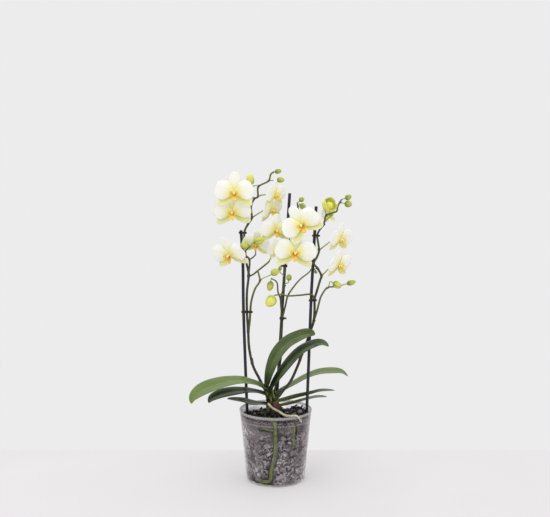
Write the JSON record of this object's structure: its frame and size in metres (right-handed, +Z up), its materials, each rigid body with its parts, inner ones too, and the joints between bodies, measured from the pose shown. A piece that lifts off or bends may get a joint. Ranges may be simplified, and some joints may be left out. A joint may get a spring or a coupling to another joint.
{
  "type": "potted orchid",
  "caption": "Small-flowered moth orchid with strap leaves, staked flower spikes, open cream flowers and buds, standing in a clear round nursery pot of bark.",
  "frame": {"origin": "centre of the pot's flat underside", "axes": "+Z up along the pot, -Y towards the front of the plant, +X to its right"},
  "size_m": [0.2752, 0.12, 0.5158],
  "materials": {
    "pot": "clear thin-walled plastic, hazed inside by moisture",
    "bark": "damp conifer bark chips, matt",
    "cane": "near-black coated cane, satin",
    "clip": "dark moulded plastic",
    "crown": "short green stem with dry brown sheaths",
    "leaf": "waxy strap leaf, satin with a soft sheen",
    "dry_root": "silver-grey air root, matt",
    "wet_root": "green root, damp",
    "stem": "olive-brown flower stem, satin",
    "petal": "soft cream petal with a golden lip",
    "bud": "yellow-green bud, waxy"
  },
  "bodies": {
    "root": {"pot": "pot", "substrate": "bark", "cane_left": "cane", "cane_middle": "cane", "cane_right": "cane", "clip_left_low": "clip", "clip_left_high": "clip", "clip_middle_low": "clip", "clip_middle_high": "clip", "clip_right_low": "clip", "clip_right_high": "clip", "crown": "crown", "leaf_left_long": "leaf", "leaf_left_middle": "leaf", "leaf_left_low": "leaf", "leaf_right_tall": "leaf", "leaf_right_arching": "leaf", "leaf_right_pale": "leaf", "leaf_right_back": "leaf", "leaf_right_low": "leaf", "root_over_rim": "dry_root", "root_front": "wet_root", "root_right": "wet_root", "spike_left": "stem", "spike_middle": "stem", "spike_right": "stem", "flower_01": "petal", "flower_02": "petal", "flower_03": "petal", "flower_04": "petal", "flower_05": "petal", "flower_06": "petal", "flower_07": "petal", "flower_08": "petal", "flower_09": "petal", "flower_10": "petal", "flower_11": "petal", "flower_12": "petal", "flower_13": "petal", "bud_01": "bud", "bud_02": "bud", "bud_03": "bud", "bud_04": "bud", "bud_05": "bud", "bud_06": "bud", "bud_07": "bud", "bud_08": "bud", "bud_09": "bud", "bud_10": "bud", "bud_11": "bud", "bud_12": "bud", "bud_13": "bud", "bud_14": "bud", "bud_15": "bud", "bud_16": "bud", "bud_17": "bud", "bud_18": "bud"}
  },
  "joints": []
}
